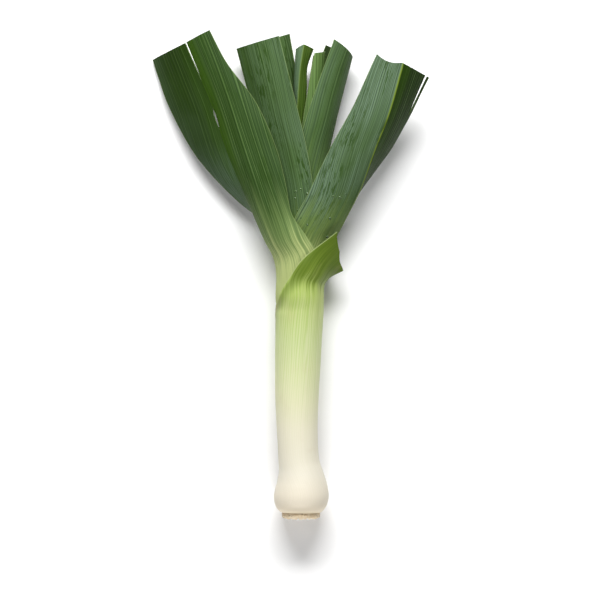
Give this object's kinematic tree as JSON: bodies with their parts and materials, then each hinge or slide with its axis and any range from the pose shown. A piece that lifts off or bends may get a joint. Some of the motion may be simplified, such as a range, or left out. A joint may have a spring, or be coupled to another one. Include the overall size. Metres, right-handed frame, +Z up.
{
  "type": "leek",
  "caption": "Trimmed leek lying on its side, with a white shank and bulb, a cut root plate and folded green leaves cut off at the top.",
  "frame": {"origin": "middle of the footprint, at the height of the board that the leek lies on", "axes": "+Y from the root plate along the leek to the leaf tips, +Z up from the board, +X to the right when seen from above with the roots at the bottom"},
  "size_m": [0.1986, 0.3508, 0.0505],
  "materials": {
    "root_plate": "dry tan plant tissue, rough",
    "shank": "cream white at the bulb to yellow green at the collar, satin",
    "left_outer_leaf": "dark green, waxy, fine lengthwise veins",
    "right_outer_leaf": "green with a bluish bloom, waxy, fine lengthwise veins",
    "left_inner_leaf": "mid green, waxy, fine lengthwise veins",
    "right_inner_leaf": "mid green with a bluish bloom, waxy",
    "young_leaf": "yellow green, satin",
    "heart_leaf": "light green, satin"
  },
  "bodies": {
    "root": {"root_plate": "root_plate", "shank": "shank", "left_outer_leaf": "left_outer_leaf", "right_outer_leaf": "right_outer_leaf", "left_inner_leaf": "left_inner_leaf", "right_inner_leaf": "right_inner_leaf", "young_leaf": "young_leaf", "heart_leaf": "heart_leaf"}
  },
  "joints": []
}
